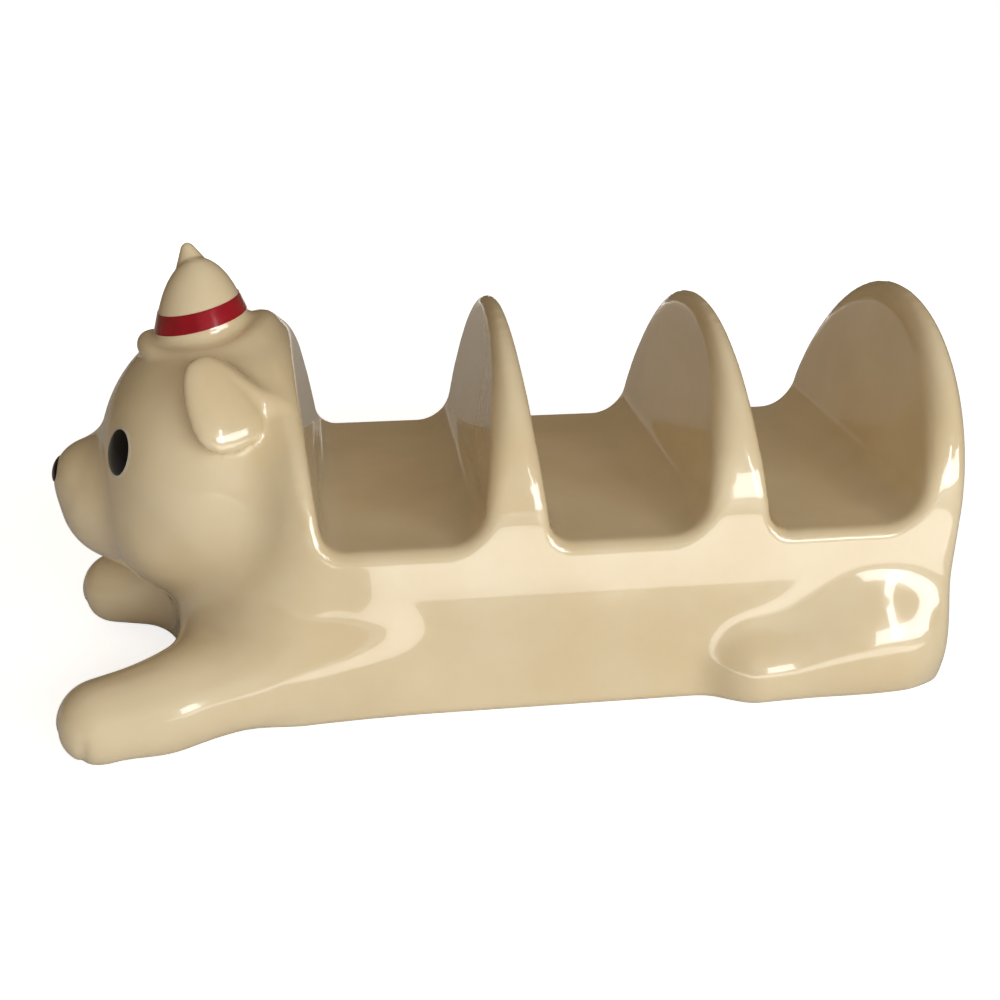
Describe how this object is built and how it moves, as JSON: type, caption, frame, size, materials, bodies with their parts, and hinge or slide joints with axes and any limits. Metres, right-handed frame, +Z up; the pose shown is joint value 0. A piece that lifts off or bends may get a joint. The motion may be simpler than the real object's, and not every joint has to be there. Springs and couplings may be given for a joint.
{
  "type": "taco holder",
  "caption": "Glazed ceramic taco holder in the form of a lying dog with a small pointed hat; arched dividers across its back form open slots for tacos.",
  "frame": {"origin": "on the table, under the centre of the bounding box", "axes": "+X from the head towards the rump, +Z up, so that the side the picture shows faces -Y"},
  "size_m": [0.2711, 0.1448, 0.1293],
  "materials": {
    "cream_glaze": "glossy warm cream glaze with painted black eyes and nose and a red hat band"
  },
  "bodies": {
    "root": {"taco_holder": "cream_glaze"}
  },
  "joints": []
}
